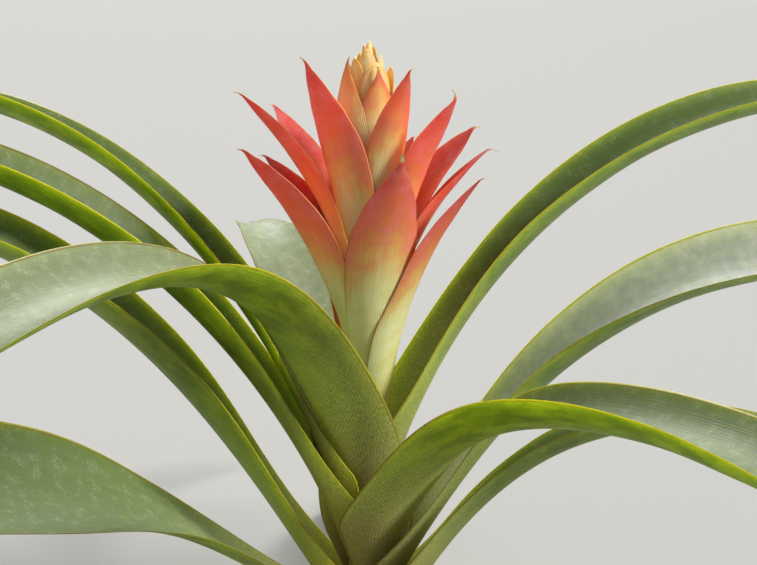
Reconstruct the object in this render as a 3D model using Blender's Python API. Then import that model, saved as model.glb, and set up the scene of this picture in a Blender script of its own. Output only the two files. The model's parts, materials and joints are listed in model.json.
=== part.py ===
"""Pitcairnia: a rosette house plant in flower, cut from its roots so that it stands on its stem.

One short stem carries a spiral of strap leaves whose sheaths clasp one another, and a flower stalk
clasped by red bracts and topped by a cone of bud scales. Every leaf, bract and scale is one closed
shell of its own. Lengths are in millimetres in the tables and become metres when a mesh is made.
Origin: on the floor, under the middle of the leaves' spread. +Z is up and +X is to the right of
the flower's face.
"""

import math
from typing import NamedTuple

import bmesh
import bpy
import numpy as np

MM = 0.001

# ---------------------------------------------------------------- stem and stalk

STEM_SIDES = 24
STEM_TOP = 90.0
STEM_FOOT_RADIUS = 17.0
STEM_TOP_RADIUS = 5.4
STALK_WAIST = 124.0
STALK_HEAD = 244.0
STALK_TOP = 286.0
STALK_WAIST_RADIUS = 5.2
STALK_HEAD_RADIUS = 3.2
STALK_TIP_RADIUS = 1.2
SEAT_GAP = 0.3  # between the stem and the stalk that stands on it
STEM_FOOT = (9.75, 21.12)  # where the stem stands, from the middle of the leaves' spread

# ---------------------------------------------------------------- leaves, bracts and bud scales

LEAF_THICKNESS = 1.0
BRACT_THICKNESS = 0.6
SCALE_THICKNESS = 0.5
ROOT_CLEARANCE = 0.45  # between the stem and the inner face of a sheath
FLOOR_TIP = LEAF_THICKNESS / 2  # height of a tip whose underside rests at zero


class Sheath(NamedTuple):
    """The lower part of a blade, which clasps the axis."""

    wrap: float  # half angle round the axis, degrees
    most: float  # widest half width
    ends: tuple  # it narrows into the blade between these shares of the length


class Blade(NamedTuple):
    """One leaf, bract or scale. It grows towards azimuth from height root on its stem."""

    azimuth: float  # degrees, 0 is +X and 90 is +Y
    root: float  # height on the stem where it is attached
    rise: float  # how far it holds its first direction
    lean: float  # that direction, in degrees from upright
    over: tuple  # (distance from the axis, height) that the arch bends round
    tip: tuple  # (distance from the axis, height) of the tip
    width: float  # widest, measured round the channel
    fold: float  # half angle of the channel, degrees
    roll: tuple = (0.0, 0.0)  # turn about its own length at mid length and at the tip
    sheath: Sheath | None = None  # where it differs from that of its kind


# Innermost first. Each attaches lower on the stem than the one before it.
LEAVES = [
    Blade(10, 82, 107, 8, (160, 348), (350, 225), 43, 66, (8, 5)),
    Blade(-128, 77, 106, 10, (122, 316), (420, 98), 54, 55, (-10, -42)),
    Blade(168, 72, 104, 14, (155, 351), (350, 236), 38, 60, (10, 5)),
    Blade(122, 66, 80, 15, (90, 223), (128, 198), 46, 40),
    Blade(184, 61, 100, 17, (170, 334), (370, 217), 50, 66, (-2, -5)),
    Blade(-49, 57, 75, 17, (115, 205), (360, 118), 60, 60, (-4, 44)),
    Blade(95, 52, 70, 20, (105, 190), (290, 50), 40, 55),
    Blade(-3, 46, 87, 27, (154, 289), (350, 146), 58, 56, (17, 12)),
    Blade(192, 35, 92, 33, (150, 314), (360, 192), 62, 50, (-4, -8)),
    Blade(-18, 31, 72, 30, (118, 211), (300, 72), 34, 60),
    Blade(208, 24, 30, 43, (150, 173), (350, 120), 68, 30, (-31, -36)),
    Blade(5, 20, 24, 35, (85, 38), (250, FLOOR_TIP), 36, 40),
    Blade(-110, 16, 26, 35, (90, 48), (250, FLOOR_TIP), 36, 40),
    Blade(92, 13, 24, 35, (90, 40), (240, FLOOR_TIP), 36, 40),
    Blade(-45, 10, 24, 35, (85, 40), (240, FLOOR_TIP), 36, 40),
    Blade(176, 6, 20, 35, (85, 34), (230, FLOOR_TIP), 36, 40),
]

# Outermost first. Each attaches higher on the stalk than the one before it. The first wraps
# furthest round the others' bases.
BRACTS = [
    Blade(-21, 114, 58, 7, (18.5, 202), (56, 246), 23, 34, (-6, -15), Sheath(76, 22, (0.2, 0.62))),
    Blade(120, 119, 50, 7, (23, 204), (46, 238), 28, 50),
    Blade(-72, 124, 50, 6, (21.5, 211), (49, 256), 36, 50),
    Blade(65, 129, 45, 6, (20, 214), (42, 242), 28, 50),
    Blade(-160, 134, 44, 6, (21.5, 211), (60, 258), 34, 50, (10, 30)),
    Blade(-8, 139, 45, 6, (17, 220), (57, 257), 28, 50, (0, 12)),
    Blade(164, 144, 45, 6, (20, 219), (52, 251), 28, 50, (-8, -25)),
    Blade(17, 148, 45, 6, (17, 228), (53, 264), 30, 50, (8, 30)),
    Blade(146, 152, 42, 6, (18, 230), (56, 273), 26, 50, (-3, -20)),
    Blade(-32, 156, 45, 6, (15, 232), (47, 281), 26, 50, (-8, -25)),
    Blade(-173, 162, 42, 6, (17, 235), (59, 281), 25, 50, (12, 30)),
    Blade(50, 166, 42, 6, (16, 238), (34, 258), 26, 50),
    Blade(-139, 171, 40, 6, (14.5, 241), (37, 297), 34, 50),
    Blade(72, 175, 40, 6, (15, 244), (26, 270), 24, 50),
    Blade(-60, 179, 40, 7, (13, 249), (37, 293), 22, 50),
    Blade(-140, 186, 40, 7, (19.5, 259), (11.5, 295), 29, 58),
    Blade(-68, 192, 38, 7, (16.5, 260), (12, 291), 28, 58),
    Blade(84, 198, 36, 8, (15.5, 262), (13, 288), 24, 60),
]

SCALE_COUNT = 11
SCALES_PER_TURN = 2.618


def bud_scale(index):
    """Scale number index of the bud, counted from the outside in."""
    inward = index / (SCALE_COUNT - 1)
    return Blade(
        azimuth=20 + 360 / SCALES_PER_TURN * index,
        root=204 + 44 * inward,
        rise=30 - 7 * inward,
        lean=7 - 2 * inward,
        over=(14.5 - 10.5 * inward, 271 + 12 * inward),
        tip=(10.5 - 9.5 * inward, 290 + 11 * inward),
        width=22 - 12 * inward,
        fold=60,
    )


# ---------------------------------------------------------------- how each kind is cut

ROLL_STATIONS = (0.0, 0.25, 0.6, 1.0)  # shares of the length where roll and fold are given


class Kind(NamedTuple):
    """How blades of one kind are cut, from the root at 0 to the tip at 1."""

    thickness: float
    across: int  # faces from margin to margin
    along: int  # faces from root to tip
    crowding: float  # above 1 puts more of them near the root
    sheath: Sheath
    clasp_ends: tuple  # the blade leaves the axis between these
    stations: tuple
    outline: tuple  # share of the full width at each station
    folding: tuple  # share of the fold at each of the roll stations


LEAF = Kind(
    thickness=LEAF_THICKNESS,
    across=8,
    along=14,
    crowding=1.5,
    sheath=Sheath(88, 30, (0.03, 0.30)),
    clasp_ends=(0.08, 0.34),
    stations=(0, 0.15, 0.3, 0.55, 0.75, 0.88, 0.96, 1),
    outline=(0.85, 0.9, 0.97, 1, 0.88, 0.58, 0.25, 0.03),
    folding=(1.25, 1.15, 0.9, 0.5),
)
BRACT = Kind(
    thickness=BRACT_THICKNESS,
    across=6,
    along=9,
    crowding=1.15,
    sheath=Sheath(64, 15, (0.0, 0.25)),
    clasp_ends=(0.35, 0.75),
    stations=(0, 0.2, 0.45, 0.6, 0.75, 0.86, 0.93, 1),
    outline=(0.5, 0.6, 0.92, 1, 0.8, 0.46, 0.2, 0.04),
    folding=(1.3, 1.15, 1.0, 0.5),
)
SCALE = Kind(
    thickness=SCALE_THICKNESS,
    across=5,
    along=6,
    crowding=1.0,
    sheath=Sheath(60, 10, (0.0, 0.3)),
    clasp_ends=(0.9, 1.3),
    stations=(0, 0.3, 0.6, 0.8, 0.92, 1),
    outline=(0.6, 0.85, 1, 0.92, 0.62, 0.06),
    folding=(1.0, 1.0, 1.0, 1.0),
)

# ---------------------------------------------------------------- the shape of a blade

ARCH_SAMPLES = 200
ROLL_SMOOTHING = 31  # samples over which a change of roll is spread


def smooth(x, low, high):
    """0 below low, 1 above high, and an S between them."""
    t = np.clip((x - low) / (high - low), 0, 1)
    return t * t * (3 - 2 * t)


def unit(rows):
    return rows / np.linalg.norm(rows, axis=1)[:, None]


def arch(blade, root_radius):
    """(distance from the axis, height) at even steps along the blade, from root to tip."""
    lean = math.radians(blade.lean)
    start = np.array((root_radius, blade.root))
    held = start + blade.rise * np.array((math.sin(lean), math.cos(lean)))
    t = np.linspace(0, 1, ARCH_SAMPLES)[:, None]
    path = (
        (1 - t) ** 3 * start
        + 3 * (1 - t) ** 2 * t * held
        + 3 * (1 - t) * t**2 * np.array(blade.over)
        + t**3 * np.array(blade.tip)
    )
    run = np.append(0, np.cumsum(np.linalg.norm(np.diff(path, axis=0), axis=1)))
    even = np.linspace(0, run[-1], ARCH_SAMPLES)
    return np.stack([np.interp(even, run, path[:, k]) for k in (0, 1)], axis=1)


def frames(blade, kind, root_radius, shares):
    """At each share of the length: the midrib, the direction to the inner face, the direction
    across the blade, and the distance from the axis. The blade grows towards +X.

    While the blade clasps, its sections lie level, so nested sheaths share the axis.
    """
    even = np.linspace(0, 1, ARCH_SAMPLES)
    path = arch(blade, root_radius)
    slope = unit(np.gradient(path, axis=0))
    zero = np.zeros(ARCH_SAMPLES)
    midrib = np.stack([path[:, 0], zero, path[:, 1]], axis=1)
    along = np.stack([slope[:, 0], zero, slope[:, 1]], axis=1)
    free = smooth(even, *kind.clasp_ends)
    inner = unit(np.stack([free - 1 - free * slope[:, 1], zero, free * slope[:, 0]], axis=1))
    across = unit(np.cross(along, inner))
    roll = np.radians(np.interp(even, ROLL_STATIONS, (0, 0, *blade.roll)))
    spread = np.ones(ROLL_SMOOTHING) / ROLL_SMOOTHING
    roll = np.convolve(np.pad(roll, ROLL_SMOOTHING // 2, mode="edge"), spread, mode="valid")[:, None]
    turned_inner = np.cos(roll) * inner + np.sin(roll) * across
    turned_across = np.cos(roll) * across - np.sin(roll) * inner
    midrib, inner, across = (
        np.stack([np.interp(shares, even, rows[:, k]) for k in range(3)], axis=1)
        for rows in (midrib, turned_inner, turned_across)
    )
    return midrib, unit(inner), unit(across), midrib[:, 0]


def section(blade, kind, share, radius):
    """Half width and bend of the channel at one share of the length, radius from the axis."""
    sheath = blade.sheath or kind.sheath
    outline = blade.width / 2 * np.interp(share, kind.stations, kind.outline)
    opened = smooth(share, *sheath.ends)
    half = min(math.radians(sheath.wrap) * radius, sheath.most) * (1 - opened) + outline * opened
    fold = math.radians(blade.fold) * np.interp(share, ROLL_STATIONS, kind.folding)
    free = smooth(share, *kind.clasp_ends)
    bend = (1 - free) / radius + free * fold / max(outline, 1.0)
    return half, bend


# ---------------------------------------------------------------- making the solids


def placed(name, mesh, material, parent):
    mesh.materials.append(material)
    made = bpy.data.objects.new(name, mesh)
    bpy.context.scene.collection.objects.link(made)
    made.parent = parent
    return made


def blade_solid(name, blade, kind, root_radius, material, parent):
    """One closed shell: a grid laid on the channelled surface, made solid about its middle."""
    shares = np.linspace(0, 1, kind.along + 1) ** kind.crowding
    midrib, inner, across, radii = frames(blade, kind, root_radius, shares)
    bm = bmesh.new()
    bmesh.ops.create_grid(bm, x_segments=kind.across, y_segments=kind.along, size=1)
    for vertex in bm.verts:
        row = round((vertex.co.y + 1) / 2 * kind.along)
        half, bend = section(blade, kind, shares[row], radii[row])
        angle = vertex.co.x * half * bend
        side = math.sin(angle) / bend
        depth = (1 - math.cos(angle)) / bend
        vertex.co = (midrib[row] + side * across[row] + depth * inner[row]) * MM
    bmesh.ops.recalc_face_normals(bm, faces=bm.faces)
    mesh = bpy.data.meshes.new(name)
    bm.to_mesh(mesh)
    bm.free()
    mesh.shade_smooth()
    made = placed(name, mesh, material, parent)
    made.rotation_euler.z = math.radians(blade.azimuth)
    shell = made.modifiers.new("wall", "SOLIDIFY")
    shell.thickness = kind.thickness * MM
    shell.offset = 0


def turned_solid(name, profile, material, parent):
    """A solid turned round +Z from (radius, height) points, top to bottom."""
    points = [(0, 0, profile[0][1]), *((r, 0, z) for r, z in profile), (0, 0, profile[-1][1])]
    edges = [(k, k + 1) for k in range(len(points) - 1)]
    mesh = bpy.data.meshes.new(name)
    mesh.from_pydata([[value * MM for value in point] for point in points], edges, [])
    made = placed(name, mesh, material, parent)
    lathe = made.modifiers.new("turn", "SCREW")
    lathe.steps = lathe.render_steps = STEM_SIDES
    lathe.use_merge_vertices = True
    lathe.merge_threshold = 0.00001
    lathe.use_smooth_shade = True


def painted(name, colour, roughness):
    material = bpy.data.materials.new(name)
    material.use_nodes = True
    shader = material.node_tree.nodes["Principled BSDF"]
    shader.inputs["Base Color"].default_value = (*colour, 1)
    shader.inputs["Roughness"].default_value = roughness
    return material


# ---------------------------------------------------------------- the plant


def stem_radius(height):
    """The leafy stem is a cone that narrows to the flower stalk."""
    return np.interp(height, (0, STEM_TOP), (STEM_FOOT_RADIUS, STEM_TOP_RADIUS))


def stalk_radius(height):
    heights = (STEM_TOP, STALK_WAIST, STALK_HEAD, STALK_TOP)
    radii = (STEM_TOP_RADIUS, STALK_WAIST_RADIUS, STALK_HEAD_RADIUS, STALK_TIP_RADIUS)
    return np.interp(height, heights, radii)


def build():
    for old in list(bpy.data.objects):
        bpy.data.objects.remove(old)
    green = painted("leaf_green", (0.17, 0.27, 0.05), 0.42)
    red = painted("bract_red", (0.80, 0.13, 0.09), 0.45)
    yellow = painted("bud_yellow", (0.84, 0.62, 0.20), 0.45)
    pale = painted("stem_pale", (0.52, 0.50, 0.25), 0.6)
    plant = bpy.data.objects.new("plant", None)
    bpy.context.scene.collection.objects.link(plant)
    plant.location = (STEM_FOOT[0] * MM, STEM_FOOT[1] * MM, 0)

    turned_solid("stem", [(STEM_TOP_RADIUS, STEM_TOP), (STEM_FOOT_RADIUS, 0)], pale, plant)
    joints = (STALK_TOP, STALK_HEAD, STALK_WAIST, STEM_TOP + SEAT_GAP)
    stalk = [(stalk_radius(height), height) for height in joints]
    turned_solid("flower_stalk", stalk, pale, plant)

    scales = [bud_scale(index) for index in range(SCALE_COUNT)]
    for name, kind, blades, material, radius_at in (
        ("leaf", LEAF, LEAVES, green, stem_radius),
        ("bract", BRACT, BRACTS, red, stalk_radius),
        ("bud_scale", SCALE, scales, yellow, stalk_radius),
    ):
        for number, blade in enumerate(blades, start=1):
            root_radius = radius_at(blade.root) + ROOT_CLEARANCE + kind.thickness / 2
            blade_solid(f"{name}_{number:02d}", blade, kind, root_radius, material, plant)


build()
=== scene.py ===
"""The looks of a flowering pitcairnia: a rosette of strap leaves round a head of red bracts.

The plant is cut through the foot of its stem and stands on the cut. The sections follow the way
it grows, from the stem outwards and upwards. Lengths in the tables are in millimetres.
"""

import json
import math

import bpy
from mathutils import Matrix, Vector

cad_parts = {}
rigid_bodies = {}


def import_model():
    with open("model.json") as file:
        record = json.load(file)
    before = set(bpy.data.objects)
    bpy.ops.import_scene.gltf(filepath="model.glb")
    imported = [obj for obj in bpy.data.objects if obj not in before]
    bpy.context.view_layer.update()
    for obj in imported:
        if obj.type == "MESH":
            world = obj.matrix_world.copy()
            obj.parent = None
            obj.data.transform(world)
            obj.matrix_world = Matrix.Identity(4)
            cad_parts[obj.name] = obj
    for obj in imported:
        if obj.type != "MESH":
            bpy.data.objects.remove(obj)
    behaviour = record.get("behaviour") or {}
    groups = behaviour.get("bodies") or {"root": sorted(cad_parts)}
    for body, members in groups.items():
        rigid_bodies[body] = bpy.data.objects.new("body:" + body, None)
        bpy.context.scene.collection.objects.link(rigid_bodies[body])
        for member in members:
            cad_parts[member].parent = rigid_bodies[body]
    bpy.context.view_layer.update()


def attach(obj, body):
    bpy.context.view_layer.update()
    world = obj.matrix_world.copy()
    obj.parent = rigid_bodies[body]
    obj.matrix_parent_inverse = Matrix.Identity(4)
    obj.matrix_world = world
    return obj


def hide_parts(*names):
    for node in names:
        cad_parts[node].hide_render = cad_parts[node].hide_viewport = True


for old in list(bpy.data.objects):
    bpy.data.objects.remove(old)
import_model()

# ------------------------------------------------------------------ camera and studio
# A portrait lens looks a little down on the flower head. The main soft light stands high on the
# right, one behind shines through the leaves, and a weak one fills the left. The pale floor
# runs far back and sweeps up into a round wall.

FOOT = Vector((9.75, 21.12, 0.0)) / 1000  # where the stem stands
LOOK_AT = FOOT + Vector((4.5, 0, 192)) / 1000
LOOK_DOWN = math.radians(12)
REACH = 0.7  # from the camera to the plant
LOOK_FROM = LOOK_AT + REACH * Vector((0, -math.cos(LOOK_DOWN), math.sin(LOOK_DOWN)))

scene = bpy.context.scene
scene.view_settings.view_transform = "Standard"
camera_data = bpy.data.cameras.new("camera")
camera_data.sensor_width = 36
camera_data.lens = 73.2
camera_data.clip_start = 0.01
camera = bpy.data.objects.new("camera", camera_data)
camera.location = LOOK_FROM
camera.rotation_euler = (LOOK_AT - LOOK_FROM).to_track_quat("-Z", "Y").to_euler()
scene.collection.objects.link(camera)
scene.camera = camera


def soft_light(name, away, strength, spread, colour):
    """A wide soft light from the direction away, as even over the floor as on the plant."""
    data = bpy.data.lights.new(name, "SUN")
    data.energy = strength
    data.angle = math.radians(spread)
    data.color = colour
    light = bpy.data.objects.new(name, data)
    light.location = FOOT + Vector(away)
    light.rotation_euler = Vector(away).to_track_quat("Z", "Y").to_euler()
    scene.collection.objects.link(light)


soft_light("key", (1.3, -0.5, 1.0), 3.6, 14, (1.0, 0.98, 0.94))
soft_light("fill", (-0.5, -1.0, 0.6), 0.25, 40, (0.94, 0.97, 1.0))
soft_light("back", (-0.1, 1.0, 1.1), 2.8, 25, (1.0, 0.99, 0.95))

world = bpy.data.worlds.new("studio")
world.use_nodes = True
sky = world.node_tree.nodes["Background"]
sky.inputs["Color"].default_value = (0.9, 0.93, 1.0, 1)
sky.inputs["Strength"].default_value = 0.18
scene.world = world

FLAT_FLOOR = 14.0  # radius of the flat floor, in metres
SWEEP = 3.0  # radius of the round between floor and wall
WALL = 3.8
FLOOR_SIDES = 96
SWEEP_STEPS = 16
profile = [(0.0, 0.0), (FLAT_FLOOR, 0.0)]
for step in range(1, SWEEP_STEPS + 1):
    turn = math.radians(90 * step / SWEEP_STEPS)
    profile.append((FLAT_FLOOR + SWEEP * math.sin(turn), SWEEP * (1 - math.cos(turn))))
profile.append((FLAT_FLOOR + SWEEP, WALL))
floor_points = []
floor_faces = []
for ring, (reach, height) in enumerate(profile):
    for side in range(FLOOR_SIDES):
        around = 2 * math.pi * side / FLOOR_SIDES
        floor_points.append((reach * math.cos(around), reach * math.sin(around), height))
        if ring:
            here = ring * FLOOR_SIDES
            before = here - FLOOR_SIDES
            onward = (side + 1) % FLOOR_SIDES
            floor_faces.append((before + side, before + onward, here + onward, here + side))
floor_mesh = bpy.data.meshes.new("floor")
floor_mesh.from_pydata(floor_points, [], floor_faces)
floor_mesh.shade_smooth()
floor_paint = bpy.data.materials.new("floor_paint")
floor_paint.use_nodes = True
matt = floor_paint.node_tree.nodes["Principled BSDF"]
matt.inputs["Base Color"].default_value = (0.4, 0.4, 0.392, 1)
matt.inputs["Roughness"].default_value = 0.85
floor_mesh.materials.append(floor_paint)
floor = bpy.data.objects.new("floor", floor_mesh)
scene.collection.objects.link(floor)

# ------------------------------------------------------------------ leafy stem and flower stalk
# The stem is a fibrous cone that every leaf is grown onto, cut straight across its foot. The
# stalk is the same tissue, paler, and the bracts hide nearly all of it. Both are turned round
# the axis, with upright strands and a ring at each joint.

MM = 0.001
SEAM = 0.002  # points nearer than this are one
TURNED_SIDES = 120
TURNED_ROWS = 90
CAP_SHARE = 0.05  # share of a core's rows that close each end
RADIUS_UNIT = 20.0  # the radius that a profile calls 1
SET_BACK = 0.3  # keeps the strands inside the profile
STEM_TOP = 90.0
STEM_FOOT_RADIUS = 17.0
STEM_TOP_RADIUS = 5.4


def feed(value, slot):
    """Gives an input slot a field, or a plain value that stays the same."""
    if isinstance(value, Field):
        value.socket.id_data.links.new(value.socket, slot)
    else:
        slot.default_value = value


class Field:
    """A number, vector, colour or shape inside a node tree, so that rules read as sums."""

    def __init__(self, socket):
        self.socket = socket

    def wired(self, kind, operation, *others):
        node = self.socket.id_data.nodes.new(kind)
        node.operation = operation
        for slot, value in zip(node.inputs, (self, *others)):
            feed(value, slot)
        return node

    def maths(self, operation, *others):
        return Field(self.wired("ShaderNodeMath", operation, *others).outputs[0])

    def __add__(self, other):
        return self.maths("ADD", other)

    def __sub__(self, other):
        return self.maths("SUBTRACT", other)

    def __mul__(self, other):
        return self.maths("MULTIPLY", other)

    def __truediv__(self, other):
        return self.maths("DIVIDE", other)

    def __pow__(self, other):
        return self.maths("POWER", other)

    def __abs__(self):
        return self.maths("ABSOLUTE")

    def __rsub__(self, other):
        return (self * -1.0) + other

    __radd__ = __add__

    def at_least(self, other):
        return self.maths("MAXIMUM", other)

    def at_most(self, other):
        return self.maths("MINIMUM", other)

    def radians(self):
        return self.maths("RADIANS")

    def cos(self):
        return self.maths("COSINE")

    def sin(self):
        return self.maths("SINE")

    def vectors(self, operation, *others):
        return Field(self.wired("ShaderNodeVectorMath", operation, *others).outputs["Vector"])

    def plus(self, other):
        return self.vectors("ADD", other)

    def minus(self, other):
        return self.vectors("SUBTRACT", other)

    def unit(self):
        return self.vectors("NORMALIZE")

    def scaled(self, number):
        """This vector, made longer by a number that may change from place to place."""
        node = self.wired("ShaderNodeVectorMath", "SCALE")
        feed(number, node.inputs["Scale"])
        return Field(node.outputs["Vector"])

    def rise(self, low, high):
        """0 below low, 1 above high, and an S between them."""
        node = self.socket.id_data.nodes.new("ShaderNodeMapRange")
        node.interpolation_type = "SMOOTHSTEP"
        feed(low, node.inputs["From Min"])
        feed(high, node.inputs["From Max"])
        feed(self, node.inputs["Value"])
        return Field(node.outputs["Result"])

    def through(self, points):
        """This number read off a smooth curve through (from, to) points."""
        node = self.socket.id_data.nodes.new("ShaderNodeFloatCurve")
        curve = node.mapping.curves[0]
        while len(curve.points) < len(points):
            curve.points.new(0.5, 0.5)
        for point, place in zip(curve.points, sorted(points)):
            point.location = place
            point.handle_type = "AUTO_CLAMPED"
        node.mapping.use_clip = False
        node.mapping.update()
        feed(self, node.inputs["Value"])
        return Field(node.outputs["Value"])


class Tree:
    """Short ways to add nodes to one node tree."""

    def __init__(self, tree):
        self.tree = tree

    def node(self, kind, **settings):
        node = self.tree.nodes.new(kind)
        for name, value in settings.items():
            setattr(node, name, value)
        return node

    def split(self, vector):
        """The three numbers that make up a vector."""
        node = self.node("ShaderNodeSeparateXYZ")
        feed(vector, node.inputs[0])
        return [Field(output) for output in node.outputs]

    def noise(self, where, scale, detail=3.0, roughness=0.5):
        """Soft uneven spots, about scale of them to each unit of where."""
        node = self.node("ShaderNodeTexNoise")
        feed(where, node.inputs["Vector"])
        feed(scale, node.inputs["Scale"])
        feed(detail, node.inputs["Detail"])
        feed(roughness, node.inputs["Roughness"])
        return Field(node.outputs[0])


class Finish(Tree):
    """A material under way: its tree, its shader, and short ways to read and mix patterns."""

    def __init__(self, name):
        self.material = bpy.data.materials.new(name)
        self.material.use_nodes = True
        super().__init__(self.material.node_tree)
        self.shader = self.tree.nodes["Principled BSDF"]

    def attribute(self, name):
        return Field(self.node("ShaderNodeAttribute", attribute_name=name).outputs["Vector"])

    def stretched(self, where, *stretch):
        """A place to read a pattern at; a small number draws the pattern out along that axis."""
        node = self.node("ShaderNodeMapping")
        feed(stretch, node.inputs["Scale"])
        feed(where, node.inputs["Vector"])
        return Field(node.outputs["Vector"])

    def mix(self, share, first, second):
        """first where share is 0, second where it is 1; each a colour or a mix made before."""
        node = self.node("ShaderNodeMix", data_type="RGBA")
        feed(share, node.inputs["Factor"])
        for slot, colour in ((node.inputs[6], first), (node.inputs[7], second)):
            feed(colour if isinstance(colour, Field) else (*colour, 1), slot)
        return Field(node.outputs[2])

    def bump(self, height, distance):
        """Relief of that height field, in metres from its lowest to its highest."""
        node = self.node("ShaderNodeBump")
        feed(distance, node.inputs["Distance"])
        feed(height, node.inputs["Height"])
        feed(Field(node.outputs["Normal"]), self.shader.inputs["Normal"])

    def set(self, **values):
        """Feeds the shader's own inputs, called by their names."""
        for name, value in values.items():
            feed(value, self.shader.inputs[name.replace("_", " ")])


class Rule(Tree):
    """A Geometry Nodes tree under way, with named number inputs and the fields that read them."""

    def __init__(self, name, titles):
        super().__init__(bpy.data.node_groups.new(name, "GeometryNodeTree"))
        sockets = self.tree.interface
        sockets.new_socket("Geometry", in_out="OUTPUT", socket_type="NodeSocketGeometry")
        for title in titles:
            sockets.new_socket(title, in_out="INPUT", socket_type="NodeSocketFloat")
        entry = self.node("NodeGroupInput")
        self.given = {title: Field(entry.outputs[title]) for title in titles}

    def vector(self, *numbers):
        node = self.node("ShaderNodeCombineXYZ")
        for slot, value in zip(node.inputs, numbers):
            feed(value, slot)
        return Field(node.outputs[0])

    def grid(self, around, along):
        """A sheet of faces, with the two shares of its sides as fields."""
        grid = self.node("GeometryNodeMeshGrid")
        feed(1, grid.inputs["Size X"])
        feed(1, grid.inputs["Size Y"])
        feed(around + 1, grid.inputs["Vertices X"])
        feed(along + 1, grid.inputs["Vertices Y"])
        turn, length, _ = self.split(Field(grid.outputs["UV Map"]))
        return Field(grid.outputs["Mesh"]), turn, length

    def worked(self, shape, node, **values):
        """The shape that a node makes of it. The values are fed to the inputs of their names."""
        feed(shape, node.inputs[0])
        for title, value in values.items():
            feed(value, node.inputs[title])
        return Field(node.outputs[0])

    def finish(self, sheet, point, notes, turned, material):
        """Lays the sheet on the points, closes its seams, and sets it on the plant in metres."""
        shape = self.worked(sheet, self.node("GeometryNodeSetPosition"), Position=point)
        for title, note in notes.items():
            keeper = self.node(
                "GeometryNodeStoreNamedAttribute", data_type="FLOAT_VECTOR", domain="CORNER"
            )
            shape = self.worked(shape, keeper, Name=title, Value=note)
        shape = self.worked(shape, self.node("GeometryNodeMergeByDistance"), Distance=SEAM)
        shape = self.worked(shape, self.node("GeometryNodeSetShadeSmooth"))
        shape = self.worked(
            shape, self.node("GeometryNodeTransform"),
            Translation=FOOT, Rotation=self.vector(0, 0, turned), Scale=(MM, MM, MM),
        )
        shape = self.worked(shape, self.node("GeometryNodeRealizeInstances"))
        shape = self.worked(shape, self.node("GeometryNodeSetMaterial"), Material=material)
        feed(shape, self.node("NodeGroupOutput").inputs["Geometry"])
        return self.tree


def grow(name, tree, node, slot, **sizes):
    """One piece grown by a tree, as a plain mesh that stands for the CAD node."""
    holder = bpy.data.objects.new(name + "_rule", bpy.data.meshes.new(name + "_rule"))
    scene.collection.objects.link(holder)
    rule = holder.modifiers.new("rule", "NODES")
    rule.node_group = tree
    for item in tree.interface.items_tree:
        if item.in_out == "INPUT":
            rule[item.identifier] = float(sizes[item.name.replace(" ", "_").lower()])
    bpy.context.view_layer.update()
    grown = holder.evaluated_get(bpy.context.evaluated_depsgraph_get())
    mesh = bpy.data.meshes.new_from_object(grown)
    mesh.name = name
    bpy.data.objects.remove(holder)  # its modifier goes with it
    piece = bpy.data.objects.new(name, mesh)
    scene.collection.objects.link(piece)
    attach(piece, "root")
    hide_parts(node)


def turned_rule(name, material, profile):
    """A tree that turns a core round the axis, with its strands and rings in relief.

    The core's radius at each share of its height is read off the profile.
    """
    rule = Rule(name, ("Bottom", "Top", "Strands", "Strand Height", "Rings", "Ring Height"))
    given = rule.given
    sheet, turn, length = rule.grid(TURNED_SIDES, TURNED_ROWS)
    side = (length - CAP_SHARE) / (1 - 2 * CAP_SHARE)
    share = side.at_least(0.0).at_most(1.0)
    closing = (length / CAP_SHARE).at_most((1 - length) / CAP_SHARE).at_most(1.0)
    angle = turn * (2 * math.pi)
    strands = (angle * given["Strands"]).cos() * given["Strand Height"]
    rings = (share * given["Rings"] * (2 * math.pi)).cos() ** 2.0
    relief = strands - rings * given["Ring Height"]
    radius = (share.through(profile) * RADIUS_UNIT + relief - SET_BACK) * closing
    height = given["Bottom"] + (given["Top"] - given["Bottom"]) * share
    point = rule.vector(angle.cos() * radius, angle.sin() * radius, height)
    return rule.finish(sheet, point, {}, 0, material)


def stem_finish(name, pale, dark):
    """Fibrous tissue: upright strands, pale between them and browner where they dry."""
    tissue = Finish(name)
    spot = Field(tissue.node("ShaderNodeTexCoord").outputs["Object"])
    strands = tissue.noise(tissue.stretched(spot, 1, 1, 0.06), 900, 4)
    patches = tissue.noise(spot, 90, 3)
    colour = tissue.mix(strands.rise(0.35, 0.7), pale, dark)
    colour = tissue.mix(patches.rise(0.5, 0.75) * 0.6, colour, (0.32, 0.2, 0.09))
    tissue.set(Base_Color=colour, Roughness=strands * 0.2 + 0.5)
    tissue.bump(strands, 0.0004)
    return tissue.material


stem_rule = turned_rule(
    "stem_rule", stem_finish("stem_tissue", (0.42, 0.38, 0.17), (0.26, 0.2, 0.08)),
    [(0, STEM_FOOT_RADIUS / RADIUS_UNIT), (1, STEM_TOP_RADIUS / RADIUS_UNIT)],
)
grow(
    "fibrous_stem", stem_rule, "stem", "stem",
    bottom=0.0, top=STEM_TOP, strands=24, strand_height=0.12, rings=9, ring_height=0.15,
)
stalk_rule = turned_rule(
    "stalk_rule", stem_finish("stalk_tissue", (0.6, 0.56, 0.24), (0.48, 0.46, 0.16)),
    [(0, 0.27), (0.17, 0.26), (0.79, 0.16), (1, 0.06)],
)
grow(
    "ridged_stalk", stalk_rule, "flower_stalk", "stem",
    bottom=90.3, top=286.0, strands=16, strand_height=0.1, rings=6, ring_height=0.08,
)

# ------------------------------------------------------------------ leaves
# Each leaf is one tough strap: a pale ribbed sheath that clasps the stem, then a channelled blade
# that arches over and tapers to a point. Thin brown margins, silvery scurf with a painted sheen
# on the upper face, and a painted glow of light through the blade.

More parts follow.
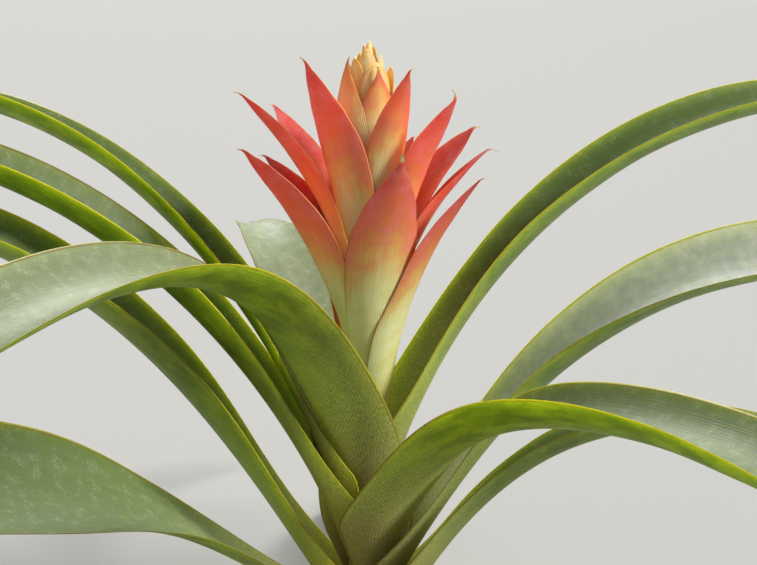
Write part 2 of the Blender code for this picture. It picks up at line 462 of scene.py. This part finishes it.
BLADE_INPUTS = (
    "Azimuth", "Root Radius", "Root Height", "Rise", "Lean", "Over Radius", "Over Height",
    "Tip Radius", "Tip Height", "Width", "Fold", "Roll", "Tip Roll", "Thickness", "Rib Height",
    "Ripple", "Hook", "Length", "Tone", "Under Tone", "Seed",
)
MIDRIB_POINTS = 128
INNER_COLUMNS = 0.25  # share of the columns on the inner face, where the ribs don't show
CROWDED = 0.2  # how far the columns crowd towards the margins
MIDDLE_ROLL = [(0, 0), (0.2, 0), (0.6, 1), (1, 0)]  # how much of each roll acts along the blade
TIP_ROLL = [(0, 0), (0.55, 0), (1, 1)]
END_THICKNESS = [(0, 0.6), (0.02, 1), (0.9, 0.8), (0.98, 0.7), (1, 0.6)]
THINNER_MARGIN = 0.35
THIN_HALF_WIDTH = 0.7  # a blade thins where its half width times this is under 1 mm
SMOOTHER_BLADE = 0.75  # how much of the sheath's ribs is lost on the free blade
HOOK_START = 0.955  # share of the length where a hooked tip begins to bend
HOOK_DRAW = 0.6  # how far a hook also draws the tip back, as a share of its bend


def blade_rule(name, material, around, along, crowding, wrap, sheath_most, sheath_ends,
               clasp_ends, outline, folding, ribs):
    """A Geometry Nodes tree that grows one blade from its driving dimensions.

    A sheet is rolled into a flat tube, its two faces one thickness apart, and laid along an
    arched midrib. It clasps the axis as a level sheath first and then opens into a channel.
    The sheath's half width is wrap degrees round the axis, at most sheath_most millimetres, and
    gives way to the blade's own between sheath_ends. The blade comes free between clasp_ends.
    These and the outline are read at shares of the length, from 0 at the root to 1 at the tip.
    """
    rule = Rule(name, BLADE_INPUTS)
    given, vector = rule.given, rule.vector

    # the midrib, an arch in the plane of the axis
    lean = given["Lean"].radians()
    held_radius = given["Root Radius"] + given["Rise"] * lean.sin()
    held_height = given["Root Height"] + given["Rise"] * lean.cos()
    arch = rule.node("GeometryNodeCurvePrimitiveBezierSegment", mode="POSITION")
    feed(MIDRIB_POINTS, arch.inputs["Resolution"])
    feed(vector(given["Root Radius"], 0, given["Root Height"]), arch.inputs["Start"])
    feed(vector(held_radius, 0, held_height), arch.inputs["Start Handle"])
    feed(vector(given["Over Radius"], 0, given["Over Height"]), arch.inputs["End Handle"])
    feed(vector(given["Tip Radius"], 0, given["Tip Height"]), arch.inputs["End"])

    # across runs from one margin at 1 to the other at -1 on the inner face, and back outside;
    # the first and last rows draw in to the midrib and close the two ends
    sheet, turn, length = rule.grid(around, along + 2)
    sheet = rule.worked(sheet, rule.node("GeometryNodeFlipFaces"))
    row = length * (along + 2) - 1
    share = (row / along).at_least(0.0).at_most(1.0) ** crowding
    closing = (row + 1).at_most(along + 1 - row).at_most(1.0)
    inside = 1 - turn * (2 / INNER_COLUMNS)
    outside = (turn - INNER_COLUMNS) * (2 / (1 - INNER_COLUMNS)) - 1
    even = inside.at_least(outside)
    across = (even * (1 - CROWDED) + (even * (math.pi / 2)).sin() * CROWDED) * closing
    face = (INNER_COLUMNS - turn).maths("SIGN")
    offside = abs(across)

    # which way the inner face looks: at the axis while it clasps, then up out of the channel
    sample = rule.node("GeometryNodeSampleCurve", mode="FACTOR", use_all_curves=True)
    feed(Field(arch.outputs["Curve"]), sample.inputs["Curves"])
    feed(share, sample.inputs["Factor"])
    midrib = Field(sample.outputs["Position"])
    tangent = Field(sample.outputs["Tangent"])
    radius = rule.split(midrib)[0]
    tangent_out, _, tangent_up = rule.split(tangent)
    free = share.rise(*clasp_ends)
    inner = vector(free - 1 - free * tangent_up, 0, free * tangent_out).unit()
    sideways = tangent.vectors("CROSS_PRODUCT", inner).unit()
    roll = given["Roll"] * share.through(MIDDLE_ROLL)
    roll = roll + given["Tip Roll"] * share.through(TIP_ROLL)
    cosine = roll.radians().cos()
    sine = roll.radians().sin()
    turned_inner = inner.scaled(cosine).plus(sideways.scaled(sine))
    turned_side = sideways.scaled(cosine).minus(inner.scaled(sine))

    # the section at each share of the length
    half_blade = given["Width"] * 0.5 * share.through(outline)
    opened = share.rise(*sheath_ends)
    half_sheath = (radius * math.radians(wrap)).at_most(sheath_most)
    half = half_sheath * (1 - opened) + half_blade * opened
    fold = given["Fold"].radians() * share.through(folding)
    bend = (1 - free) / radius + free * fold / half_blade.at_least(1.0)
    bow = (across * half * bend).cos()
    dip = (across * half * bend).sin()

    # thin at the margins, drawn out to nothing at both ends, ribbed most where it clasps
    edge = (1 - offside ** 5.0).at_least(0.0) ** 0.5 * closing
    narrow = (half * THIN_HALF_WIDTH).at_most(1.0)
    ends = share.through(END_THICKNESS) * narrow
    half_thick = given["Thickness"] * 0.5 * edge * ends * (1 - offside * THINNER_MARGIN)
    ribbed = 1 - share.rise(clasp_ends[0], clasp_ends[1] * 1.6) * SMOOTHER_BLADE
    ribs_here = (across * (ribs * math.pi)).cos() * ribbed * edge * ends
    outer = face * -0.5 + 0.5
    relief = ribs_here * given["Rib Height"] * outer * -1.0
    wander = rule.noise(vector(share * 8, across * 0.7, given["Seed"] * 7.3), 1.0, 1.0)
    ripple = (wander - 0.5) * given["Ripple"] * share.rise(0.25, 0.6) * narrow
    lift = half_thick * face + relief + ripple

    outward = turned_inner.scaled(bow).minus(turned_side.scaled(dip))
    point = midrib.plus(turned_side.scaled(dip / bend))
    point = point.plus(turned_inner.scaled((1 - bow) / bend))
    point = point.plus(outward.scaled(lift))
    curl = ((share - HOOK_START) / (1 - HOOK_START)).at_least(0.0) ** 2.0 * given["Hook"]
    point = point.plus(turned_inner.scaled(curl))
    point = point.minus(tangent.scaled(abs(curl) * HOOK_DRAW))
    notes = {
        "blade": vector(across, share, face),
        "blade_mm": vector(
            across * half + given["Seed"] * 60, share * given["Length"], given["Seed"]
        ),
        "tones": vector(given["Tone"], given["Under Tone"], 0),
    }
    return rule.finish(sheet, point, notes, given["Azimuth"].radians(), material)


LEAF_RIBS = 38  # a side

leaf_green = Finish("leaf_skin")
leaf_across, leaf_share, leaf_face = leaf_green.split(leaf_green.attribute("blade"))
leaf_mm = leaf_green.attribute("blade_mm")
silver_and_sheen, grey, _ = leaf_green.split(leaf_green.attribute("tones"))
upper = leaf_face.rise(-0.2, 0.2)
offside = abs(leaf_across)

# patterns, in millimetres across and along the blade
flat_mm = leaf_green.stretched(leaf_mm, 1, 1, 0)
fine_veins = leaf_green.noise(leaf_green.stretched(leaf_mm, 1, 0.012, 0), 1.9)
broad_veins = leaf_green.noise(leaf_green.stretched(leaf_mm, 1, 0.01, 0), 0.3, 2)
ribs = (leaf_across * (LEAF_RIBS * math.pi)).cos() * 0.5 + 0.5
blotches = leaf_green.noise(leaf_green.stretched(leaf_mm, 1, 0.35, 0), 0.12, 4)
flecks = leaf_green.noise(leaf_green.stretched(leaf_mm, 1, 0.3, 0), 0.9, 4, 0.7)
scurf = leaf_green.noise(flat_mm, 1.7, 2, 0.8)
clouds = leaf_green.noise(flat_mm, 0.16, 4, 0.6)
cells = leaf_green.noise(leaf_green.stretched(leaf_mm, 1, 0.28, 0), 0.42, 2)
dashes = leaf_green.noise(leaf_green.stretched(leaf_mm, 1, 0.2, 0), 2.2, 2, 0.6)

# the under face: yellow green, brightened by a painted glow of light shining through the leaf,
# greyer on some leaves, with darker cells and flecks
under_colour_and_glow = leaf_green.mix(blotches.rise(0.3, 0.7), (0.13, 0.185, 0.003), (0.29, 0.36, 0.006))
under_colour_and_glow = leaf_green.mix(grey, under_colour_and_glow, (0.2, 0.26, 0.13))
under_colour_and_glow = leaf_green.mix(cells.rise(0.52, 0.64) * 0.38, under_colour_and_glow, (0.1, 0.155, 0.004))
under_colour_and_glow = leaf_green.mix(flecks.rise(0.58, 0.68) * 0.4, under_colour_and_glow, (0.08, 0.12, 0.008))

# the upper face: dark green under a silvery bloom of scurf that also carries a painted sheen,
# with pale specks
upper_colour = leaf_green.mix(
    broad_veins.rise(0.3, 0.7), (0.045, 0.08, 0.015), (0.07, 0.115, 0.024)
)
# where the bloom is thin the upper face turns a lighter yellow green, partly its own colour and
# partly a painted glow of light shining through the blade
upper_colour = leaf_green.mix((1 - silver_and_sheen) * 0.6, upper_colour, (0.075, 0.125, 0.01))
# the pale bloom is silvery scurf and also a painted sheen, paler where the leaf is more silvered
bloom_and_sheen = 0.66 + (clouds - 0.5) * 0.5 + (scurf - 0.5) * 0.6 + (fine_veins - 0.5) * 0.3
bloom_and_sheen_colour = leaf_green.mix(silver_and_sheen.rise(0.3, 1.0), (0.5, 0.54, 0.36), (0.6, 0.63, 0.57))
upper_colour = leaf_green.mix(bloom_and_sheen.at_least(0.0) * silver_and_sheen, upper_colour, bloom_and_sheen_colour)
specks = scurf.rise(0.53, 0.66) * clouds.rise(0.5, 0.64)
upper_colour = leaf_green.mix(specks * (silver_and_sheen * 0.1 + 0.45), upper_colour, (0.72, 0.74, 0.68))

# both faces: dark veins, and faint ribs on the under face
leaf_colour = leaf_green.mix(upper, under_colour_and_glow, upper_colour)
leaf_colour = leaf_green.mix(fine_veins.rise(0.52, 0.72) * 0.25, leaf_colour, (0.06, 0.1, 0.01))
leaf_colour = leaf_green.mix(
    ribs.rise(0.7, 1.0) * (1 - upper) * 0.08, leaf_colour, (0.03, 0.06, 0.01)
)

# the pale sheath, ribbed, with brown patches and a browner root
pale_base = 1 - leaf_share.rise(0.05, 0.31)
base_colour = leaf_green.mix(dashes.rise(0.4, 0.6), (0.3, 0.35, 0.06), (0.64, 0.64, 0.28))
base_colour = leaf_green.mix(ribs.rise(0.5, 1.0) * 0.5, base_colour, (0.19, 0.23, 0.045))
base_colour = leaf_green.mix(blotches.rise(0.5, 0.72) * 0.35, base_colour, (0.42, 0.28, 0.14))
base_colour = leaf_green.mix(
    (1 - leaf_share.rise(0.0, 0.16)) * 0.5, base_colour, (0.34, 0.17, 0.09)
)
leaf_colour = leaf_green.mix(pale_base * 0.85, leaf_colour, base_colour)

# brown margins and a dry tip
browning = offside.rise(0.945, 0.98) * (blotches.rise(0.3, 0.7) * 0.35 + 0.6)
leaf_colour = leaf_green.mix(browning, leaf_colour, (0.1, 0.03, 0.012))
leaf_colour = leaf_green.mix(leaf_share.rise(0.982, 0.996), leaf_colour, (0.26, 0.15, 0.06))
leaf_green.set(
    Base_Color=leaf_colour,
    Roughness=fine_veins * 0.12 + scurf * 0.15 + 0.34,
    Specular_IOR_Level=0.24,
    Subsurface_Weight=0.75,
    Subsurface_Scale=0.0024,
    Subsurface_Radius=(0.88, 1.0, 0.06),
)
leaf_green.bump(
    fine_veins * 0.6 + scurf * 0.25 + flecks * 0.25 - ribs * (1 - upper * 0.8) * 0.2, 0.0002
)

leaf_rule = blade_rule(
    "leaf_rule", leaf_green.material, around=200, along=90, crowding=1.3,
    wrap=88, sheath_most=30, sheath_ends=(0.03, 0.30), clasp_ends=(0.08, 0.34),
    outline=[(0, 0.85), (0.15, 0.9), (0.3, 0.97), (0.55, 1), (0.75, 0.88), (0.88, 0.58),
             (0.96, 0.25), (1, 0)],
    folding=[(0, 1.25), (0.25, 1.15), (0.6, 0.9), (1, 0.5)],
    ribs=LEAF_RIBS,
)

LEAF_CLEARANCE = 0.95  # from the stem to the middle of a sheath

# azimuth, root height, rise, lean, over (radius, height), tip (radius, height), width, fold,
# roll, roll at the tip, silver bloom (scurf and a painted sheen) on the upper face, grey on the
# under face; innermost first
LEAVES = [
    (10, 82, 107, 8, (160, 348), (350, 225), 43, 66, 8, 5, 0.15, 0.55),
    (-128, 77, 106, 10, (122, 316), (420, 98), 54, 55, -10, -42, 0.5, 0.1),
    (168, 72, 104, 14, (155, 351), (350, 236), 38, 60, 10, 5, 0.1, 0.0),
    (122, 66, 80, 15, (90, 223), (128, 198), 46, 40, 0, 0, 0.6, 0.5),
    (184, 61, 100, 17, (170, 334), (370, 217), 50, 66, -2, -5, 0.35, 0.1),
    (-49, 57, 75, 17, (115, 205), (360, 118), 60, 60, -4, 44, 0.35, 0.0),
    (95, 52, 70, 20, (105, 190), (290, 50), 40, 55, 0, 0, 0.3, 0.3),
    (-3, 46, 87, 27, (154, 289), (350, 146), 58, 56, 17, 12, 1.1, 0.6),
    (192, 35, 92, 33, (150, 314), (360, 192), 62, 50, -4, -8, 0.25, 0.3),
    (-18, 31, 72, 30, (118, 211), (300, 72), 34, 60, 0, 0, 0.5, 0.5),
    (208, 24, 30, 43, (150, 173), (350, 120), 68, 30, -31, -36, 0.2, 0.3),
    (5, 20, 24, 35, (85, 38), (250, 0.5), 36, 40, 0, 0, 0.3, 0.3),
    (-110, 16, 26, 35, (90, 48), (250, 0.5), 36, 40, 0, 0, 0.3, 0.3),
    (92, 13, 24, 35, (90, 40), (240, 0.5), 36, 40, 0, 0, 0.3, 0.3),
    (-45, 10, 24, 35, (85, 40), (240, 0.5), 36, 40, 0, 0, 0.3, 0.3),
    (176, 6, 20, 35, (85, 34), (230, 0.5), 36, 40, 0, 0, 0.3, 0.3),
]


def stem_radius(height):
    return STEM_FOOT_RADIUS + (STEM_TOP_RADIUS - STEM_FOOT_RADIUS) * height / STEM_TOP


def growing(row, root_radius, number, **more):
    """The inputs of a blade tree for one row of a table. Its number seeds its patterns."""
    azimuth, root, rise, lean, over, tip, width, fold, roll, tip_roll = row
    length = math.dist((root_radius, root), over) + math.dist(over, tip)
    return dict(
        azimuth=azimuth, root_radius=root_radius, root_height=root, rise=rise, lean=lean,
        over_radius=over[0], over_height=over[1], tip_radius=tip[0], tip_height=tip[1],
        width=width, fold=fold, roll=roll, tip_roll=tip_roll, length=length,
        seed=number, **more,
    )


for number, (*row, bloom_and_sheen_amount, grey_under) in enumerate(LEAVES, start=1):
    sizes = growing(
        row, stem_radius(row[1]) + LEAF_CLEARANCE, number,
        thickness=0.9, rib_height=0.05, ripple=2.4, hook=0,
        tone=bloom_and_sheen_amount, under_tone=grey_under,
    )
    grow(f"strap_leaf_{number:02d}", leaf_rule, f"leaf_{number:02d}", "leaf", **sizes)

# ------------------------------------------------------------------ bracts
# Stiff pointed bracts clasp the stalk, each ribbed and cream at its base, orange in the middle
# and coral at the tip, which dries to a small tan hook. Outermost first.

BRACT_RIBS = 28  # a side

bract_red = Finish("bract_skin")
bract_across, bract_share, bract_face = bract_red.split(bract_red.attribute("blade"))
bract_mm = bract_red.attribute("blade_mm")
blush = bract_red.split(bract_red.attribute("tones"))[0]
inside = bract_face.rise(-0.2, 0.2)
offside = abs(bract_across)
flat_mm = bract_red.stretched(bract_mm, 1, 1, 0)
ribs = (bract_across * (BRACT_RIBS * math.pi)).cos() * 0.5 + 0.5
streaks = bract_red.noise(bract_red.stretched(bract_mm, 1, 0.04, 0), 1.3)
clouds = bract_red.noise(flat_mm, 0.14, 4)
scurf = bract_red.noise(flat_mm, 2.4, 2, 0.8)

# cream at the base, through orange, to coral where the flush is full
flush = bract_share + (streaks - 0.5) * 0.18 + (clouds - 0.5) * 0.2
flush = flush + offside ** 2.0 * 0.16 * bract_share.rise(0.1, 0.5)
flush = flush + inside * 0.1 - (1 - blush) * 0.5
bract_colour = bract_red.mix(clouds.rise(0.3, 0.7), (0.84, 0.73, 0.29), (0.93, 0.83, 0.46))
bract_colour = bract_red.mix(flush.rise(0.15, 0.4), (0.74, 0.7, 0.24), bract_colour)
bract_colour = bract_red.mix(flush.rise(0.44, 0.62), bract_colour, (0.85, 0.45, 0.11))
bract_colour = bract_red.mix(flush.rise(0.56, 0.74), bract_colour, (0.82, 0.17, 0.05))
bract_colour = bract_red.mix(flush.rise(0.7, 0.95), bract_colour, (0.78, 0.07, 0.06))
# pink patches over the coral: partly a pale frosting of scurf, partly painted highlights of sheen
rosy_frost_and_sheen = (clouds.rise(0.35, 0.75) * 0.42 + streaks * 0.14) * flush.rise(0.45, 0.75)
bract_colour = bract_red.mix(rosy_frost_and_sheen, bract_colour, (0.94, 0.31, 0.3))

# brownish ribs, pale scurf, redder margins and a tan tip
bract_colour = bract_red.mix(ribs.rise(0.5, 1.0) * 0.12, bract_colour, (0.42, 0.2, 0.05))
bract_colour = bract_red.mix(scurf.rise(0.56, 0.7) * 0.32, bract_colour, (0.98, 0.84, 0.7))
redder_edge = offside.rise(0.955, 0.99) * (bract_share.rise(0.2, 0.6) * 0.55 + 0.05)
bract_colour = bract_red.mix(redder_edge, bract_colour, (0.6, 0.05, 0.025))
bract_colour = bract_red.mix(bract_share.rise(0.968, 0.98), bract_colour, (0.62, 0.42, 0.19))
bract_colour = bract_red.mix(bract_share.rise(0.986, 1.0) * 0.8, bract_colour, (0.24, 0.13, 0.06))
bract_red.set(
    Base_Color=bract_colour,
    Roughness=streaks * 0.2 + scurf * 0.12 + 0.36,
    Specular_IOR_Level=0.28,
    Subsurface_Weight=0.65,
    Subsurface_Scale=0.0018,
    Subsurface_Radius=(1.0, 0.45, 0.2),
)
bract_red.bump(streaks * 0.4 + scurf * 0.3 - ribs * 0.35, 0.00026)

# all bracts are cut alike; only their sheaths differ
BRACT_CUT = dict(
    around=136, along=50, crowding=1.0, clasp_ends=(0.35, 0.75),
    outline=[(0, 0.5), (0.2, 0.6), (0.45, 0.92), (0.6, 1), (0.75, 0.8), (0.86, 0.47),
             (0.93, 0.2), (0.955, 0.085), (0.975, 0.06), (1, 0.035)],
    folding=[(0, 1.3), (0.25, 1.15), (0.6, 1.0), (1, 0.5)],
    ribs=BRACT_RIBS,
)
bract_rule = blade_rule(
    "bract_rule", bract_red.material,
    wrap=64, sheath_most=15, sheath_ends=(0.0, 0.25), **BRACT_CUT,
)
wrapping_rule = blade_rule(
    "wrapping_rule", bract_red.material,
    wrap=76, sheath_most=22, sheath_ends=(0.2, 0.62), **BRACT_CUT,
)

STALK_OUTLINE = [(90, 5.4), (124, 5.2), (244, 3.2), (286, 1.2)]  # height, radius
BRACT_CLEARANCE = 0.75  # from the stalk to the middle of a sheath

# the first ten as for leaves, then how red it is and how far its hooked tip bends inwards, in
# millimetres; outermost first, and the first wraps furthest round the others' bases
BRACTS = [
    (-21, 114, 58, 7, (18.5, 202), (56, 246), 23, 34, -6, -15, 0.95, -3.2),
    (120, 119, 50, 7, (23, 204), (46, 238), 28, 50, 0, 0, 1.0, -2.5),
    (-72, 124, 50, 6, (21.5, 211), (49, 256), 36, 50, 0, 0, 0.9, 2.0),
    (65, 129, 45, 6, (20, 214), (42, 242), 28, 50, 0, 0, 1.0, -2.5),
    (-160, 134, 44, 6, (21.5, 211), (60, 258), 34, 50, 10, 30, 1.0, -2.5),
    (-8, 139, 45, 6, (17, 220), (57, 257), 28, 50, 0, 12, 1.0, -4.0),
    (164, 144, 45, 6, (20, 219), (52, 251), 28, 50, -8, -25, 1.0, -3),
    (17, 148, 45, 6, (17, 228), (53, 264), 30, 50, 8, 30, 1.0, -3.2),
    (146, 152, 42, 6, (18, 230), (56, 273), 26, 50, -3, -20, 1.0, -3.0),
    (-32, 156, 45, 6, (15, 232), (47, 281), 26, 50, -8, -25, 1.0, 5.0),
    (-173, 162, 42, 6, (17, 235), (59, 281), 25, 50, 12, 30, 1.0, -2.0),
    (50, 166, 42, 6, (16, 238), (34, 258), 26, 50, 0, 0, 1.0, -2.0),
    (-139, 171, 40, 6, (14.5, 241), (37, 297), 34, 50, 0, 0, 1.0, -2.0),
    (72, 175, 40, 6, (15, 244), (26, 270), 24, 50, 0, 0, 1.0, -2.0),
    (-60, 179, 40, 7, (13, 249), (37, 293), 22, 50, 0, 0, 0.75, -2.0),
    (-140, 186, 40, 7, (19.5, 259), (11.5, 295), 29, 58, 0, 0, 0.3, 1.0),
    (-68, 192, 38, 7, (16.5, 260), (12, 291), 28, 58, 0, 0, 0.45, 1.0),
    (84, 198, 36, 8, (15.5, 262), (13, 288), 24, 60, 0, 0, 0.35, 1.0),
]


def stalk_radius(height):
    for (low, wide), (high, narrow) in zip(STALK_OUTLINE, STALK_OUTLINE[1:]):
        if height <= high:
            break
    return wide + (narrow - wide) * (height - low) / (high - low)


for number, (*row, redness, hook) in enumerate(BRACTS, start=1):
    sizes = growing(
        row, stalk_radius(row[1]) + BRACT_CLEARANCE, number,
        thickness=0.6, rib_height=0.03, ripple=0.8, hook=hook, tone=redness, under_tone=0,
    )
    rule = wrapping_rule if number == 1 else bract_rule
    grow(f"red_bract_{number:02d}", rule, f"bract_{number:02d}", "bract", **sizes)

# ------------------------------------------------------------------ bud scales
# The unopened flowers are packed in a cone of waxy overlapping scales, cream yellow with orange
# edges. They follow one spiral up the end of the stalk.

scale_yellow = Finish("scale_skin")
scale_across, scale_share, _ = scale_yellow.split(scale_yellow.attribute("blade"))
scale_mm = scale_yellow.attribute("blade_mm")
offside = abs(scale_across)
streaks = scale_yellow.noise(scale_yellow.stretched(scale_mm, 1, 0.05, 0), 1.5)
clouds = scale_yellow.noise(scale_yellow.stretched(scale_mm, 1, 1, 0), 0.3)
blush = offside * 0.5 + scale_share * 0.5 + (streaks - 0.5) * 0.3 + (clouds - 0.5) * 0.3
scale_colour = scale_yellow.mix(clouds.rise(0.3, 0.7), (0.93, 0.61, 0.2), (0.97, 0.75, 0.4))
scale_colour = scale_yellow.mix(blush.rise(0.6, 0.95) * 0.85, scale_colour, (0.92, 0.4, 0.15))
scale_colour = scale_yellow.mix(blush.rise(0.9, 1.12) * 0.75, scale_colour, (0.84, 0.2, 0.1))
scale_colour = scale_yellow.mix(scale_share.rise(0.96, 0.99), scale_colour, (0.66, 0.46, 0.2))
scale_yellow.set(
    Base_Color=scale_colour,
    Roughness=streaks * 0.2 + 0.34,
    Specular_IOR_Level=0.4,
    Subsurface_Weight=0.65,
    Subsurface_Scale=0.0015,
    Subsurface_Radius=(1.0, 0.6, 0.25),
)
scale_yellow.bump(streaks, 0.00015)

scale_rule = blade_rule(
    "scale_rule", scale_yellow.material, around=80, along=36, crowding=1.0,
    wrap=60, sheath_most=10, sheath_ends=(0.0, 0.3), clasp_ends=(0.9, 1.3),
    outline=[(0, 0.6), (0.3, 0.85), (0.6, 1), (0.8, 0.92), (0.92, 0.62), (1, 0)],
    folding=[(0, 1), (1, 1)],
    ribs=12,
)

SCALE_COUNT = 11
SCALE_CLEARANCE = 0.7
SPIRAL_START = 20
SPIRAL_STEP = 360 / 2.618  # the golden angle, from each scale to the next
LOWEST_ROOT = 204  # the height of the first scale's root on the stalk
ROOT_SPREAD = 44

for index in range(SCALE_COUNT):
    inward = index / (SCALE_COUNT - 1)  # 0 at the lowest scale, 1 at the top one
    root = LOWEST_ROOT + ROOT_SPREAD * inward
    row = (
        SPIRAL_START + SPIRAL_STEP * index, root, 30 - 7 * inward, 7 - 2 * inward,
        (14.5 - 10.5 * inward, 271 + 12 * inward), (10.5 - 9.5 * inward, 290 + 11 * inward),
        22 - 12 * inward, 60, 0, 0,
    )
    sizes = growing(
        row, stalk_radius(root) + SCALE_CLEARANCE, index,
        thickness=0.5, rib_height=0.03, ripple=0.2, hook=0, tone=0, under_tone=0,
    )
    tag = f"{index + 1:02d}"
    grow(f"cone_scale_{tag}", scale_rule, f"bud_scale_{tag}", "bud_scale", **sizes)
